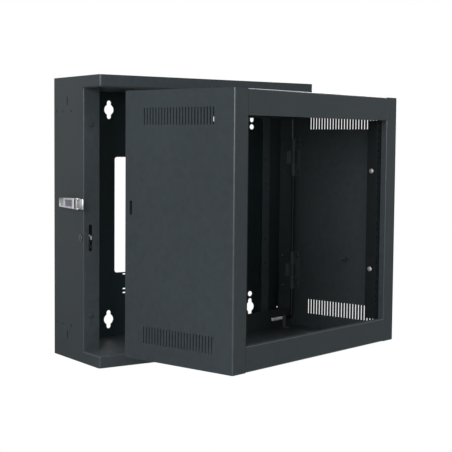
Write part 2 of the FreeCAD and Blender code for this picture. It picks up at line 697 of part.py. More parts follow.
# Side panels of the centre section: each is folded into a front stile with a rim turned back into
# the opening, and the left one has a rear return that the lock's cam hooks behind
for side, i in (("left", -1), ("right", 1)):
    panel = new_body(f"centre_side_{side}", swings=True)
    inner, outer = f"{i} * {INNER}", f"{i} * {HALF}"
    corners = [(outer, REAR_Y), (outer, FRONT_Y), (f"{i} * {OPEN_X}", FRONT_Y), (f"{i} * {OPEN_X}", RAIL_Y),
               (f"{i} * ({OPEN_X} + sheet)", RAIL_Y), (f"{i} * ({OPEN_X} + sheet)", f"{FRONT_Y} + sheet"),
               (inner, f"{FRONT_Y} + sheet")]
    if side == "left":
        corners += [(inner, f"{REAR_Y} - sheet"), (f"-({HALF} - rear_return)", f"{REAR_Y} - sheet"),
                    (f"-({HALF} - rear_return)", REAR_Y)]
    else:
        corners += [(inner, REAR_Y)]
    sketch = new_sketch(panel, "XY_Plane")
    outline(sketch, corners)
    pad(panel, sketch, f"2 * {TOP_Z}", symmetric=True)
    fillet(panel, BEND_OUTSIDE, edges_along(panel, 2, [(outer, FRONT_Y)]))
    fillet(panel, "bend_inside", edges_along(
        panel, 2, [(inner, f"{FRONT_Y} + sheet"), (f"{i} * {OPEN_X}", FRONT_Y)]))
    # the rim is cut back at both ends, where the top and bottom plates lie
    for level in (TOP_Z, f"-{TOP_Z} + sheet"):
        sketch = new_sketch(panel, "XY_Plane", level)
        box(sketch, f"{i} * ({OPEN_X} - overcut)", f"{FRONT_Y} + sheet", inner, f"{RAIL_Y} + overcut")
        pocket(panel, sketch, "sheet")
    for j in (-1, 1):
        sketch = new_sketch(panel, "YZ_Plane")
        octagon(sketch, f"{PANEL_Y} - (vent_count - 1) * vent_pitch / 2", f"{j} * ({TOP_Z} - vent_drop)",
                "vent_width", "vent_height")
        vent = pocket(panel, sketch)
        row(panel, vent, sketch, "H_Axis", "(vent_count - 1) * vent_pitch", "vent_count")
    sketch = new_sketch(panel, "YZ_Plane")
    if side == "left":
        slot(sketch, f"{HOOK_TIP_Y} + hook_sheet / 2", "latch_z", "hook_slot_height", "hook_slot_width")
        pocket(panel, sketch)
        sketch = new_sketch(panel, "XZ_Plane", f"-{REAR_Y}")
        box(sketch, f"{SLOT_X} - flange_slot_width / 2", "-lock_z - keeper_below",
            f"{SLOT_X} + flange_slot_width / 2", "-lock_z + cam_half + keeper_gap")
        for j in (-1, 1):
            box(sketch, f"-{INNER}", f"{j} * ({REAR_Z} - side_gap)",
                f"-({HALF} - rear_return - overcut)", f"{j} * ({TOP_Z} + overcut)")
        pocket(panel, sketch, "sheet", forward=True)
    else:
        for hinge in (-1, 1):
            middle = f"({hinge} * hinge_z)"
            box(sketch, HINGE_Y, f"{middle} - {third_gap} - side_gap",
                f"{REAR_Y} + overcut", f"{middle} + {third_gap} + side_gap")
            for k in (-1, 1):
                circle(sketch, f"{HINGE_Y} - hinge_screw_y", f"{middle} + {k} * hinge_screw_z",
                       "hinge_screw / 2 + running_gap")
        pocket(panel, sketch)

# Top and bottom of the centre section: a plate with a front rail, its rim, and a rear rail
for level, j in (("top", 1), ("bottom", -1)):
    plate = new_body(f"centre_{level}", swings=True)
    rim_z, skin_z = f"{j} * {RIM_Z}", f"{j} * ({TOP_Z} - sheet)"
    sketch = new_sketch(plate, "YZ_Plane")
    outline(sketch, ((REAR_Y, f"{j} * {REAR_Z}"), (REAR_Y, f"{j} * {TOP_Z}"), (FRONT_Y, f"{j} * {TOP_Z}"),
                     (FRONT_Y, rim_z), (RAIL_Y, rim_z), (RAIL_Y, f"{rim_z} + {j} * sheet"),
                     (f"{FRONT_Y} + sheet", f"{rim_z} + {j} * sheet"), (f"{FRONT_Y} + sheet", skin_z),
                     (f"{REAR_Y} - sheet", skin_z), (f"{REAR_Y} - sheet", f"{j} * {REAR_Z}")))
    pad(plate, sketch, f"2 * {INNER}", symmetric=True)
    for low, high, depth in ((f"{rim_z} - {j} * overcut", skin_z, "rim_depth + overcut"),
                             (f"{skin_z} - {j} * overcut", f"{j} * ({TOP_Z} + overcut)", "sheet")):
        sketch = new_sketch(plate, "XZ_Plane", f"-{FRONT_Y}")
        for i in (-1, 1):
            box(sketch, f"{i} * {OPEN_X}", low, f"{i} * ({HALF} + overcut)", high)
        pocket(plate, sketch, depth)
    fillet(plate, BEND_OUTSIDE, edges_along(plate, 0, [(FRONT_Y, f"{j} * {TOP_Z}")]))
    fillet(plate, "bend_inside", edges_along(plate, 0, [(FRONT_Y, rim_z)]))

# Rack rails: angles with three tapped holes to each unit, and the channels that carry them
rail_screws = []
for side, i in (("left", -1), ("right", 1)):
    rail = new_body(f"rack_rail_{side}", swings=True)
    web = f"{i} * ({RAIL_X} + rail_sheet)"
    sketch = new_sketch(rail, "XY_Plane")
    outline(sketch, ((f"{i} * {RAIL_X}", RAIL_Y), (f"{i} * ({RAIL_X} + rail_face)", RAIL_Y),
                     (f"{i} * ({RAIL_X} + rail_face)", f"{RAIL_Y} + rail_sheet"),
                     (web, f"{RAIL_Y} + rail_sheet"), (web, f"{RAIL_Y} + rail_depth"),
                     (f"{i} * {RAIL_X}", f"{RAIL_Y} + rail_depth")))
    pad(rail, sketch, f"{RACK_UNITS} * unit_height", symmetric=True)
    lowest = f"(hole_first - {RACK_UNITS} * unit_height / 2)"
    # only the end holes are drawn round, since the others repeat them many times
    sketch = new_sketch(rail, "XZ_Plane")
    for j in (-1, 1):
        circle(sketch, f"{i} * {HOLE_X}", f"{j} * {lowest}", "rail_hole / 2")
    pocket(rail, sketch)
    for start, count in (("hole_step", RACK_UNITS), ("2 * hole_step", f"{RACK_UNITS} - 1"),
                         ("unit_height", f"{RACK_UNITS} - 1")):
        sketch = new_sketch(rail, "XZ_Plane")
        octagon(sketch, f"{i} * {HOLE_X}", f"{lowest} + {start}", "rail_hole", "rail_hole")
        drilled = pocket(rail, sketch)
        row(rail, drilled, sketch, "V_Axis", f"({count} - 1) * unit_height", count)
    screw_y = f"({RAIL_Y} + rail_depth / 2)"
    sketch = new_sketch(rail, "YZ_Plane")
    for j in (-1, 1):
        circle(sketch, screw_y, f"{j} * bracket_z", "bracket_screw / 2 + running_gap")
    pocket(rail, sketch)
    for level, j in (("upper", 1), ("lower", -1)):
        bracket = new_body(f"rail_bracket_{side}_{level}", swings=True)
        tab, foot = f"{i} * ({RAIL_X} + rail_sheet + sheet)", f"{i} * ({INNER} - sheet)"
        front, back = f"{RAIL_Y} + rail_sheet", f"{RAIL_Y} + rail_depth"
        sketch = new_sketch(bracket, "XY_Plane", f"{j} * bracket_z - bracket_height / 2")
        outline(sketch, ((web, front), (tab, front), (tab, f"{back} - sheet"), (foot, f"{back} - sheet"),
                         (foot, front), (f"{i} * {INNER}", front), (f"{i} * {INNER}", back), (web, back)))
        pad(bracket, sketch, "bracket_height")
        sketch = new_sketch(bracket, "YZ_Plane", tab)
        circle(sketch, screw_y, f"{j} * bracket_z", "bracket_screw / 2 + running_gap")
        pocket(bracket, sketch, "sheet + overcut", forward=side == "left")
        rail_screws.append(pan_head(
            f"rail_screw_{side}_{level}", "screw_head", "screw_head_height", "bracket_screw",
            "(rail_sheet + sheet + screw_proud)", placement(f"{i} * {RAIL_X}", screw_y, f"{j} * bracket_z",
                                                  **(TO_RIGHT if side == "left" else TO_LEFT)), swings=True))
group("rail_screws", rail_screws)

# Earth stud welded inside the right panel, with its nut
stud_at = placement(INNER, f"{FRONT_Y} + stud_back", "-stud_z", **TO_LEFT)
turned("earth_stud", (("0", "0"), ("stud_base / 2", "0"), ("stud_base / 2", "stud_base_height"),
                      ("stud_radius", "stud_base_height"), ("stud_radius", "stud_length - stud_bevel"),
                      ("stud_radius - stud_bevel", "stud_length"), ("0", "stud_length")),
       stud_at, swings=True)
nut = new_body("earth_nut", swings=True, at=stud_at)
sketch = new_sketch(nut, "XY_Plane", "stud_base_height")
half_flat, across = "(stud_nut / 4)", "(stud_nut / 2)"
flat_to_flat = "(stud_nut / 4 * sqrt(3))"
outline(sketch, ((across, "0"), (half_flat, flat_to_flat),
                 (f"-{half_flat}", flat_to_flat), (f"-{across}", "0"),
                 (f"-{half_flat}", f"-{flat_to_flat}"), (half_flat, f"-{flat_to_flat}")))
pad(nut, sketch, "stud_nut_height")
sketch = new_sketch(nut, "XY_Plane")
circle(sketch, "0", "0", "stud_radius + running_gap")
pocket(nut, sketch)

# Draw latch, base: a plate on the left wall with an ear on each side for the lever's pivot
latch_foot = f"({PIVOT_Y} - latch_ear)"
latch_base = new_body("latch_base")
sketch = new_sketch(latch_base, "YZ_Plane", f"-{HALF}")
box(sketch, latch_foot, "latch_z - latch_base_half",
    f"{PIVOT_Y} + latch_base_length", "latch_z + latch_base_half")
pad(latch_base, sketch, "latch_sheet", back=True)
ear_front, ear_rear = f"({PIVOT_Y} - latch_ear)", f"({PIVOT_Y} + latch_ear)"
for low in ("latch_z + latch_base_half - latch_sheet", "latch_z - latch_base_half"):
    sketch = new_sketch(latch_base, "XY_Plane", low)
    box(sketch, f"-{HALF}", ear_front, f"{PIVOT_X} - latch_ear", ear_rear)
    pad(latch_base, sketch, "latch_sheet")
fillet(latch_base, "latch_ear_round", edges_along(
    latch_base, 2, [(f"{PIVOT_X} - latch_ear", ear_front), (f"{PIVOT_X} - latch_ear", ear_rear)]))
sketch = new_sketch(latch_base, "XY_Plane")
circle(sketch, PIVOT_X, PIVOT_Y, "latch_pin + running_gap")
pocket(latch_base, sketch)
sketch = new_sketch(latch_base, "YZ_Plane")
rivet_spots = (f"{PIVOT_Y} + latch_rivet_y", f"{PIVOT_Y} + latch_base_length - latch_rivet_y")
for y in rivet_spots:
    circle(sketch, y, "latch_z", "latch_rivet / 2 + running_gap")
pocket(latch_base, sketch)
group("latch_rivets", [
    pan_head(f"latch_rivet_{number}", "latch_rivet_head", "latch_rivet_head_height", "latch_rivet",
             "(latch_sheet + sheet)", placement(f"-{HALF} - latch_sheet", y, "latch_z", **TO_LEFT))
    for number, y in enumerate(rivet_spots)])
pin_length = "(2 * latch_sheet + latch_arm_gap + pin_proud)"
pin_profile = (("0", "0"), ("latch_pin", "0"), ("latch_pin", pin_length), ("0", pin_length))
group("latch_pivots", [
    turned(f"latch_pivot_{name}", pin_profile, placement(PIVOT_X, PIVOT_Y, low), listed=False)
    for name, low in (("upper", "latch_z + latch_base_half - latch_sheet"),
                      ("lower", f"latch_z - {ARM_OUTER} - pin_proud"))])

# Draw latch, lever: a tapered plate with a window, and two arms that straddle the base's ears
lever = new_body("latch_lever")
plate_y, end_y = f"({PIVOT_Y} + lever_plate_start)", f"({PIVOT_Y} + lever_end)"
lever_x = f"({PIVOT_X} - lever_out)"
sketch = new_sketch(lever, "YZ_Plane", lever_x)
outline(sketch, ((plate_y, f"latch_z - {ARM_OUTER}"), (end_y, "latch_z - lever_end_half"),
                 (end_y, "latch_z + lever_end_half"), (plate_y, f"latch_z + {ARM_OUTER}")))
pad(lever, sketch, "latch_sheet")
fillet(lever, "lever_corner", edges_along(
    lever, 0, [(end_y, "latch_z - lever_end_half"), (end_y, "latch_z + lever_end_half")]))
sketch = new_sketch(lever, "YZ_Plane", lever_x)
box(sketch, f"{end_y} - lever_window_end - lever_window_length", "latch_z - lever_window_height / 2",
    f"{end_y} - lever_window_end", "latch_z + lever_window_height / 2")
pocket(lever, sketch)
arm_inside = f"({HOOK_X} + hook_knuckle)"
for low in (f"latch_z + {ARM_INNER}", f"latch_z - {ARM_OUTER}"):
    sketch = new_sketch(lever, "XY_Plane", low)
    outline(sketch, ((lever_x, f"{plate_y} + latch_sheet"), (lever_x, f"{PIVOT_Y} - arm_half"),
                     (f"{PIVOT_X} - arm_half", f"{PIVOT_Y} - arm_ahead"),
                     (f"{PIVOT_X} + arm_half", f"{PIVOT_Y} - arm_ahead"),
                     (f"{PIVOT_X} + arm_in", PIVOT_Y), (arm_inside, HOOK_Y),
                     (PIVOT_X, f"{plate_y} + latch_sheet")))
    pad(lever, sketch, "latch_sheet")
sketch = new_sketch(lever, "XY_Plane")
circle(sketch, PIVOT_X, PIVOT_Y, "latch_pin + running_gap")
circle(sketch, HOOK_X, HOOK_Y, "latch_pin + running_gap")
pocket(lever, sketch)
hook_pin_length = f"(2 * ({ARM_OUTER} + pin_proud))"
pin_profile = (("0", "0"), ("latch_pin", "0"), ("latch_pin", hook_pin_length), ("0", hook_pin_length))
turned("latch_hook_pin", pin_profile, placement(HOOK_X, HOOK_Y, f"latch_z - {ARM_OUTER} - pin_proud"))

# Draw latch, hook: curled round its pin, and widened in front of the ears to a turned-in tip. It is
# drawn along the wall and then turned a little out on its pin, as it hangs while it is unhooked.
hook = new_body("latch_hook", at=placement(angle="-hook_open", centre=f"{HOOK_X}; {HOOK_Y}; 0"))
hook_in = f"({HOOK_X} + hook_knuckle)"
hook_out = f"({hook_in} - hook_sheet)"
wide_y = f"({PIVOT_Y} - hook_wide_start)"
sketch = new_sketch(hook, "XY_Plane", "latch_z")
circle(sketch, HOOK_X, HOOK_Y, "hook_knuckle")
pad(hook, sketch, "2 * hook_half", symmetric=True)
for far, near, half in ((HOOK_Y, wide_y, "hook_half"), (wide_y, HOOK_TIP_Y, "hook_wide_half")):
    sketch = new_sketch(hook, "XY_Plane", "latch_z")
    box(sketch, hook_out, near, hook_in, far)
    pad(hook, sketch, f"2 * {half}", symmetric=True)
sketch = new_sketch(hook, "XY_Plane", "latch_z")
box(sketch, hook_out, HOOK_TIP_Y, f"-{HALF} - hook_tip_clear", f"{HOOK_TIP_Y} + hook_sheet")
pad(hook, sketch, "2 * hook_wide_half", symmetric=True)
fillet(hook, "hook_sheet", edges_along(hook, 2, [(hook_out, HOOK_TIP_Y)]))
sketch = new_sketch(hook, "XY_Plane")
circle(sketch, HOOK_X, HOOK_Y, "latch_pin + running_gap")
pocket(hook, sketch)

# Key lock: a housing in the left wall held by a nut, with a plug that turns a hooked cam
lock_at = placement(f"-{HALF}", LOCK_Y, "-lock_z", **TO_LEFT)
lock_depth = f"({HALF} + {CAM_X})"
plug_bore = "(plug / 2)"
turned("lock_housing", ((plug_bore, "lock_face_height"), ("lock_face / 2 - lock_bevel", "lock_face_height"),
                        ("lock_face / 2", "lock_face_height - lock_bevel"), ("lock_face / 2", "0"),
                        ("lock_body / 2", "0"), ("lock_body / 2", f"side_gap - {lock_depth}"),
                        (plug_bore, f"side_gap - {lock_depth}")), lock_at)
turned("lock_nut", (("lock_body / 2 + running_gap", "-sheet"), ("lock_nut / 2", "-sheet"),
                    ("lock_nut / 2", "-sheet - lock_nut_height"),
                    ("lock_body / 2 + running_gap", "-sheet - lock_nut_height")), lock_at)
plug_top = "(lock_face_height + plug_proud)"
plug = turned("lock_plug", (("0", plug_top), (PLUG_RADIUS, plug_top), (PLUG_RADIUS, f"-{lock_depth}"),
                            ("0", f"-{lock_depth}")), lock_at)
sketch = new_sketch(plug, "XY_Plane", plug_top)
box(sketch, "-key_slot_length / 2", "-key_slot_width / 2", "key_slot_length / 2", "key_slot_width / 2")
pocket(plug, sketch, "key_slot_depth")

# The cam hangs down while unlocked, with a short finger in the flange's slot. Turned forward, its
# nose catches the centre's rear return.
cam = new_body("lock_cam")
sketch = new_sketch(cam, "YZ_Plane", CAM_X)
nose_y, nose_z = f"({LOCK_Y} - cam_half - cam_nose)", "(cam_nose - cam_reach - lock_z)"
tip_z = "(-lock_z - cam_reach)"
cam_front, finger_y = f"({LOCK_Y} - cam_half)", f"({FLANGE_Y} - cam_finger_proud)"
outline(sketch, ((f"{LOCK_Y} + cam_half", "-lock_z + cam_half"), (cam_front, "-lock_z + cam_half"),
                 (cam_front, "-lock_z + cam_finger_up"), (finger_y, "-lock_z + cam_finger_up"),
                 (finger_y, "-lock_z - cam_finger_down"), (cam_front, "-lock_z - cam_finger_down"),
                 (cam_front, nose_z), (nose_y, nose_z), (nose_y, f"{tip_z} + cam_bevel"),
                 (f"{nose_y} + cam_bevel", tip_z), (f"{LOCK_Y} + cam_half", tip_z)))
pad(cam, sketch, "cam_sheet")
cam_screw = pan_head("cam_screw", "cam_screw_head", "cam_screw_height", "cam_screw", "cam_sheet",
                     placement(f"{CAM_X} + cam_sheet", LOCK_Y, "-lock_z", **TO_RIGHT))
sketch = new_sketch(cam, "YZ_Plane")
circle(sketch, LOCK_Y, "-lock_z", "cam_screw / 2 + running_gap")
pocket(cam, sketch)
pieces.append(cam_screw)

doc.recompute()
for item in doc.Objects:
    if "Invalid" in item.State or "Error" in item.State:
        raise RuntimeError(f"{item.Label}: {item.State}")
for piece in pieces:
    if piece.Shape.isNull() or not piece.Shape.isValid() or not piece.Shape.Solids:
        raise RuntimeError(f"{piece.Label}: no valid solid")
os.makedirs("parts", exist_ok=True)
for piece in pieces:
    piece.Shape.exportStep(f"parts/{piece.Label}.step")
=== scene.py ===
import json
import math

import bmesh
import bpy
from bmesh.types import BMEdge, BMFace, BMVert
from mathutils import Matrix, Vector


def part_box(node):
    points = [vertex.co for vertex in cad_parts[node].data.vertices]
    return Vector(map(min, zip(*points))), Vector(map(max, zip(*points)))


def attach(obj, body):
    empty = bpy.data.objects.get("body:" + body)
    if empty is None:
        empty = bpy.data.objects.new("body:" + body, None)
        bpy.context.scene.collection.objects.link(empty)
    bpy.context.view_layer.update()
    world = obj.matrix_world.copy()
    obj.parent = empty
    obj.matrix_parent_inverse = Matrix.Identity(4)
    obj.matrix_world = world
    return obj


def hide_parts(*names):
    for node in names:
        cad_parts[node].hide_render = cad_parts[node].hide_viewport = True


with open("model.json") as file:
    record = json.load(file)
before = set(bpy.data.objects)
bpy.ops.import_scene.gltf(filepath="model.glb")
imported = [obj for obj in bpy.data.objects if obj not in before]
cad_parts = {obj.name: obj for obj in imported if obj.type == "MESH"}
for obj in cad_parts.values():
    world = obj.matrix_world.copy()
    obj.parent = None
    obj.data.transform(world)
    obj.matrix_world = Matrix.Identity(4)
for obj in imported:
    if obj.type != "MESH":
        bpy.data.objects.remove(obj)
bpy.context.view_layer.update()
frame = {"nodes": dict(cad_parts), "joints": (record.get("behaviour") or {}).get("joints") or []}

scene = bpy.context.scene


# Rear panel: a steel sheet pierced for wall screws and cables, with both side edges folded forward.
# Like every other sheet of the rack it is sprayed with charcoal powder and baked, which leaves a satin
# skin with a fine orange peel. The skin can be made glossier where it runs round a bend.
def add_node(tree, kind, settings=(), **sockets):
    """A shader node with its settings, and with its sockets set or linked by name or by _number."""
    made = tree.nodes.new(kind)
    for name, value in dict(settings).items():
        setattr(made, name, value)
    for name, value in sockets.items():
        socket = made.inputs[int(name[1:]) if name[1:].isdigit() else name.replace("_", " ")]
        if isinstance(value, bpy.types.NodeSocket):
            tree.links.new(value, socket)
        else:
            socket.default_value = value
    return made


def read_place(tree):
    """Where a point is on its piece, in metres in the rack's frame."""
    return add_node(tree, "ShaderNodeTexCoord").outputs["Object"]


def noise(tree, place, scale, detail):
    """A soft random pattern from 0 to 1."""
    return add_node(tree, "ShaderNodeTexNoise", Vector=place, Scale=scale, Detail=detail).outputs["Fac"]


def calculate(tree, operation, *values):
    """The result of a sum, product or the like."""
    sockets = {f"_{index}": value for index, value in enumerate(values)}
    return add_node(tree, "ShaderNodeMath", {"operation": operation}, **sockets).outputs[0]


def blend_between(tree, share, low, high):
    """A number that runs from low to high as share goes from 0 to 1."""
    return add_node(tree, "ShaderNodeMapRange", Value=share, To_Min=low, To_Max=high).outputs["Result"]


def share_passed(tree, value, start, end):
    """A number that runs from 0 to 1 as a value goes from start to end."""
    return add_node(tree, "ShaderNodeMapRange", Value=value, From_Min=start, From_Max=end).outputs["Result"]


def toned(tree, tint, tone):
    """A colour made darker or lighter by a factor."""
    return add_node(tree, "ShaderNodeVectorMath", {"operation": "SCALE"}, Vector=tint, Scale=tone).outputs[0]


def new_group(name, inputs, outputs):
    """An empty node group; gives its tree, the sockets it reads and the sockets it puts out."""
    tree = bpy.data.node_groups.new(name, "ShaderNodeTree")
    for label, kind, value in inputs:
        tree.interface.new_socket(label, in_out="INPUT", socket_type=kind).default_value = value
    for label, kind in outputs:
        tree.interface.new_socket(label, in_out="OUTPUT", socket_type=kind)
    return tree, tree.nodes.new("NodeGroupInput").outputs, tree.nodes.new("NodeGroupOutput").inputs


def put_out(tree, put, **results):
    """Links a group's results to the sockets it puts out."""
    for name, result in results.items():
        tree.links.new(result, put[name])


colour, number, direction = "NodeSocketColor", "NodeSocketFloat", "NodeSocketVector"
skin_outputs = (("Colour", colour), ("Roughness", number), ("Height", number))
powder_skin, given, put = new_group(
    "powder_skin",
    (("Tint", colour, (0.04, 0.045, 0.05, 1)), ("Shine", number, 0.45), ("Turn", number, 0.0),
     ("Gloss", number, 0.0)),
    (*skin_outputs, ("Bend", number)))
place = read_place(powder_skin)
drift = noise(powder_skin, place, scale=4.0, detail=3.0)
mottle = noise(powder_skin, place, scale=70.0, detail=4.0)
peel = noise(powder_skin, place, scale=620.0, detail=2.0)
speck = noise(powder_skin, place, scale=2400.0, detail=1.0)
tone = calculate(powder_skin, "MULTIPLY", blend_between(powder_skin, drift, low=0.82, high=1.18),
                 blend_between(powder_skin, speck, low=0.7, high=1.3))
tone = calculate(powder_skin, "MULTIPLY", tone, blend_between(powder_skin, mottle, low=0.8, high=1.2))
rough = calculate(powder_skin, "ADD", given["Shine"],
                  blend_between(powder_skin, mottle, low=-0.12, high=0.12))
rough = calculate(powder_skin, "ADD", rough, blend_between(powder_skin, speck, low=-0.05, high=0.05))
speck_height = 0.5
height = calculate(powder_skin, "MULTIPLY_ADD", speck, speck_height, peel)
# A face of a sheet looks straight along an axis once the sheet's own turn is undone. A bend does not.
facing = add_node(powder_skin, "ShaderNodeTexCoord").outputs["Normal"]
facing = add_node(powder_skin, "ShaderNodeVectorRotate", {"rotation_type": "Z_AXIS"}, Vector=facing,
                  Angle=given["Turn"]).outputs[0]
facing = add_node(powder_skin, "ShaderNodeVectorMath", {"operation": "ABSOLUTE"}, _0=facing).outputs[0]
sides = add_node(powder_skin, "ShaderNodeSeparateXYZ", Vector=facing).outputs
squarest = calculate(powder_skin, "MAXIMUM", sides["X"], sides["Y"])
squarest = calculate(powder_skin, "MAXIMUM", squarest, sides["Z"])
flat_sheet, well_bent = 0.995, 0.93
bend = share_passed(powder_skin, squarest, flat_sheet, well_bent)
put_out(powder_skin, put, Colour=toned(powder_skin, given["Tint"], tone), Roughness=rough, Height=height,
        Bend=calculate(powder_skin, "MULTIPLY", bend, given["Gloss"]))
bend_roughness = 0.3


def skinned(name, group, bump, depth, specular=0.5, metallic=0.0, **values):
    """A material whose colour, roughness and relief come from a group, as does the gloss of its bends."""
    made = bpy.data.materials.new(name)
    made.use_nodes = True
    tree = made.node_tree
    shader = tree.nodes["Principled BSDF"].inputs
    shader["Specular IOR Level"].default_value = specular
    shader["Metallic"].default_value = metallic
    skin = add_node(tree, "ShaderNodeGroup", {"node_tree": group}, **values).outputs
    relief = add_node(tree, "ShaderNodeBump", Strength=bump, Distance=depth, Height=skin["Height"])
    tree.links.new(skin["Colour"], shader["Base Color"])
    tree.links.new(skin["Roughness"], shader["Roughness"])
    tree.links.new(relief.outputs["Normal"], shader["Normal"])
    if "Gloss" in values:
        tree.links.new(skin["Bend"], shader["Coat Weight"])
        shader["Coat Roughness"].default_value = bend_roughness
    return made


def powder(name, tint, shine, specular=0.1, **values):
    """Baked powder with its orange peel."""
    return skinned(name, powder_skin, bump=0.6, depth=0.0004, specular=specular, Tint=tint, Shine=shine,
                   **values)


def dress(material, *names):
    """Gives CAD nodes that keep their own shape a material."""
    for name in names:
        slots = frame["nodes"][name].data.materials
        slots.clear()
        slots.append(material)


# The rear panel has the same charcoal powder, tinted darker here: painted shade for the inside of the back
# box.
painted_shade_charcoal = powder("charcoal_powder_painted_shade", (0.017, 0.027, 0.03, 1), shine=0.5, specular=0.08)
dress(painted_shade_charcoal, "rear_panel")

# Back box walls, pans and lacing bars: folded sheets welded round the rear panel. The pans' lips hang
# over the front, and the bars, in paler powder, stand inside the walls to tie cables to.
charcoal_tint, satin = (0.032, 0.04, 0.0438, 1), 0.46
charcoal = powder("charcoal_powder", charcoal_tint, satin, Gloss=0.3)
dress(charcoal, "backbox_side_left", "backbox_side_right", "backbox_top", "backbox_bottom")
pale_charcoal = powder("pale_charcoal_powder", (0.066, 0.08, 0.087, 1), satin)
dress(pale_charcoal, "lacing_bar_left", "lacing_bar_right")


# Bumpers: two buttons of moulded rubber pushed into the left flange, which the centre section shuts on.
# Each has a thin skirt against the flange, a rounded shoulder and a dimple from the mould.
def only(kind, parts):
    """The vertices, edges or faces among the parts that an operator gives back."""
    return [part for part in parts if isinstance(part, kind)]


def stretched(shares, radius, height):
    """A profile that is given in shares of a radius and a height."""
    return [(across * radius, up * height) for across, up in shares]


def turned(profile, steps):
    """A bmesh of a (radius, height) profile turned about the upright axis."""
    shape = bmesh.new()
    points = [shape.verts.new((radius, 0, level)) for radius, level in profile]
    lines = [shape.edges.new(pair) for pair in zip(points, points[1:])]
    bmesh.ops.spin(shape, geom=points + lines, cent=(0, 0, 0), axis=(0, 0, 1), angle=math.tau, steps=steps,
                   use_merge=True)
    same_point = 1e-6
    bmesh.ops.remove_doubles(shape, verts=shape.verts, dist=same_point)
    return shape


def set_at(shape, places):
    """Puts copies of a shape at several places, and takes away the first."""
    first = shape.verts[:] + shape.edges[:] + shape.faces[:]
    for spot in places:
        copy = bmesh.ops.duplicate(shape, geom=first)["geom"]
        bmesh.ops.transform(shape, matrix=spot, verts=only(BMVert, copy))
    bmesh.ops.delete(shape, geom=only(BMVert, first), context="VERTS")


def fit(name, shape, material, body, finish, *stands_for):
    """Makes a bmesh a piece that rides on a body and stands for CAD nodes."""
    crease = math.radians(35)
    bmesh.ops.recalc_face_normals(shape, faces=shape.faces)
    data = bpy.data.meshes.new(name)
    shape.to_mesh(data)
    shape.free()
    data.shade_smooth()
    data.set_sharp_from_angle(angle=crease)
    data.materials.append(material)
    piece = bpy.data.objects.new(name, data)
    scene.collection.objects.link(piece)
    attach(piece, body)
    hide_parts(*stands_for)
    return piece


rubber_skin, given, put = new_group("rubber_skin", (("Tint", colour, (0.02, 0.02, 0.02, 1)),), skin_outputs)
place = read_place(rubber_skin)
bloom = noise(rubber_skin, place, scale=260.0, detail=4.0)
grain = noise(rubber_skin, place, scale=3200.0, detail=1.0)
tone = blend_between(rubber_skin, bloom, low=0.7, high=1.4)
put_out(rubber_skin, put, Colour=toned(rubber_skin, given["Tint"], tone),
        Roughness=blend_between(rubber_skin, bloom, low=0.66, high=0.84), Height=grain)
black_rubber = skinned("black_rubber", rubber_skin, bump=0.3, depth=0.0001, specular=0.2,
                       Tint=(0.022, 0.027, 0.03, 1))

low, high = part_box("bumpers")
bumper_radius, bumper_height = (high.x - low.x) / 2, high.y - low.y
bumper_x = (low.x + high.x) / 2
bumper_levels = (low.z + bumper_radius, high.z - bumper_radius)
button_shares = ((0, 0.78), (0.16, 0.8), (0.22, 0.97), (0.5, 1), (0.7, 0.95), (0.84, 0.8), (0.91, 0.55),
                 (0.93, 0.22), (1, 0.16), (1, 0), (0, 0))
button = turned(stretched(button_shares, bumper_radius, bumper_height), steps=40)
to_front = Matrix.Rotation(math.pi / 2, 4, "X")
set_at(button, [Matrix.Translation((bumper_x, high.y, level)) @ to_front for level in bumper_levels])
fit("bumper_buttons", button, black_rubber, "backbox", "rubber", "bumpers")

# Draw latch: pressed from zinc-plated strip. The base, with two ears, is riveted to the left wall with
# domed blind rivets, and two stubs in the ears carry the lever. The plating is duller on base and stubs.
plated_skin, given, put = new_group(
    "plated_skin",
    (("Tint", colour, (0.6, 0.61, 0.63, 1)), ("Shine", number, 0.3), ("Along", direction, (1, 1, 1))),
    skin_outputs)
place = read_place(plated_skin)
along = add_node(plated_skin, "ShaderNodeVectorMath", {"operation": "MULTIPLY"}, _0=place,
                 _1=given["Along"]).outputs[0]
lines = noise(plated_skin, along, scale=900.0, detail=3.0)
cloud = noise(plated_skin, place, scale=70.0, detail=4.0)
tone = calculate(plated_skin, "MULTIPLY", blend_between(plated_skin, cloud, low=0.8, high=1.12),
                 blend_between(plated_skin, lines, low=0.88, high=1.1))
rough = calculate(plated_skin, "ADD", given["Shine"], blend_between(plated_skin, cloud, low=-0.1, high=0.1))
put_out(plated_skin, put, Colour=toned(plated_skin, given["Tint"], tone), Roughness=rough, Height=lines)


def dull_plate(name, tint, shine, metallic):
    """Plating that has gone dull, with a coarser relief."""
    return skinned(name, plated_skin, bump=0.2, depth=0.0001, metallic=metallic, Tint=tint, Shine=shine)


fine_relief = 0.00005
zinc = skinned("zinc_plate", plated_skin, bump=0.12, depth=fine_relief, metallic=1.0,
               Tint=(0.5, 0.51, 0.53, 1), Shine=0.38, Along=(1, 0.06, 1))
# Dull plating; on the hook's curl it also serves as painted shade.
dull_zinc_and_painted_shade = dull_plate("dull_zinc_and_painted_shade", (0.32, 0.325, 0.335, 1), shine=0.5, metallic=0.7)
flat_zinc = dull_plate("flat_zinc", (0.4, 0.39, 0.37, 1), shine=0.6, metallic=0.3)
dress(flat_zinc, "latch_base")
dress(dull_zinc_and_painted_shade, "latch_pivots")

